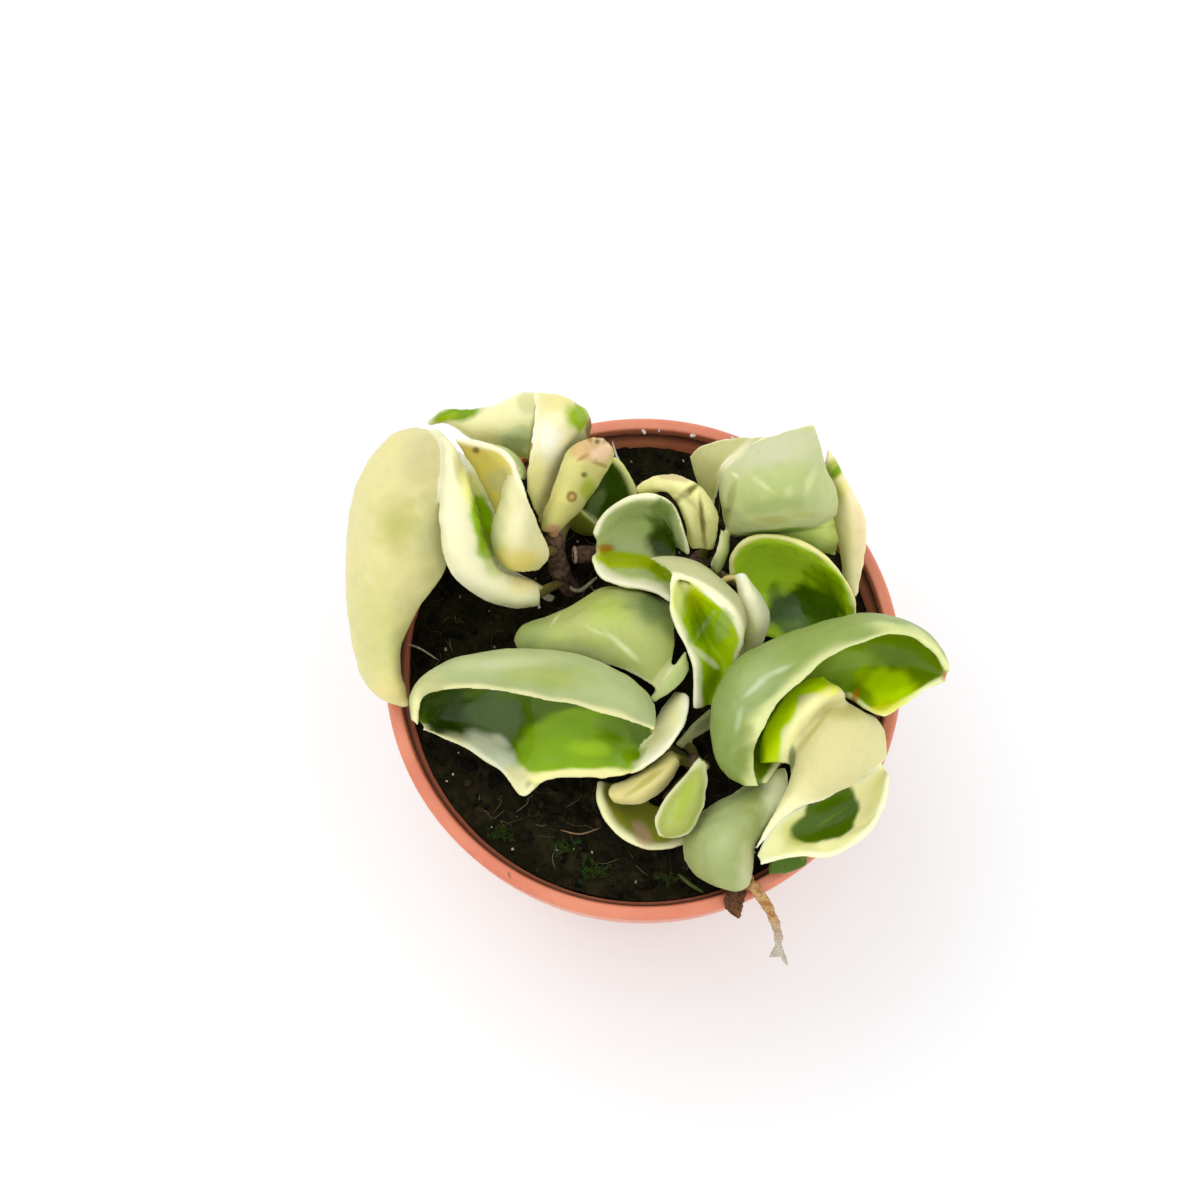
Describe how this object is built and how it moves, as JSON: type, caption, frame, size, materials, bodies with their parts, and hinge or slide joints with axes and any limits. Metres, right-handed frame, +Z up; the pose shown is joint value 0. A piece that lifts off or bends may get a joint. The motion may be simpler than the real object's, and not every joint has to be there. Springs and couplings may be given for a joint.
{
  "type": "potted plant",
  "caption": "Variegated rope hoya in a nursery pot: thick, folded and twisted cream and green leaves crowded on short woody stems over dark soil.",
  "frame": {"origin": "middle of the pot's flat underside", "axes": "+Z up, -Y towards the front, where the picture is taken from, +X to its right"},
  "size_m": [0.119, 0.1103, 0.1251],
  "materials": {
    "pot": "smooth terracotta-coloured plastic with a soft sheen",
    "soil": "loose damp peat with fibres and specks",
    "stem": "rough brown bark",
    "leaf_cream": "waxy cream leaf with a pale yellow-green blush",
    "leaf_yellow": "waxy pale yellow leaf with green and tan shades",
    "leaf_pale_green": "matte grey-green underside with cream margins",
    "leaf_bright_green": "glossy bright green upper side with pale rim",
    "leaf_dark_green": "dark green leaf in shade with pale margin",
    "dry_chip": "dry brown bark",
    "dried_strand": "dry tan fibre, paler at its ends"
  },
  "bodies": {
    "root": {"pot": "pot", "soil": "soil", "stem_left": "stem", "stem_stub": "stem", "stem_centre": "stem", "stem_right": "stem", "stem_front": "stem", "stem_front_right": "stem", "leaf_left_outer": "leaf_cream", "leaf_left_inner": "leaf_cream", "leaf_back_twisted": "leaf_cream", "leaf_back_scarred": "leaf_yellow", "leaf_back_green": "leaf_dark_green", "leaf_centre_cup": "leaf_pale_green", "leaf_centre_arch": "leaf_yellow", "leaf_back_puffed": "leaf_pale_green", "leaf_far_right": "leaf_cream", "leaf_right_cup": "leaf_bright_green", "leaf_small_cream": "leaf_cream", "leaf_centre_twisted": "leaf_pale_green", "leaf_front_boat": "leaf_pale_green", "leaf_centre_dome": "leaf_pale_green", "leaf_small_pale": "leaf_pale_green", "leaf_rosette_cup": "leaf_yellow", "leaf_rosette_tongue": "leaf_yellow", "leaf_rosette_plump": "leaf_yellow", "leaf_right_arch": "leaf_pale_green", "leaf_right_inner": "leaf_cream", "leaf_front_right_cup": "leaf_cream", "leaf_front_dome": "leaf_pale_green", "dry_chip": "dry_chip", "dried_strand": "dried_strand"}
  },
  "joints": []
}
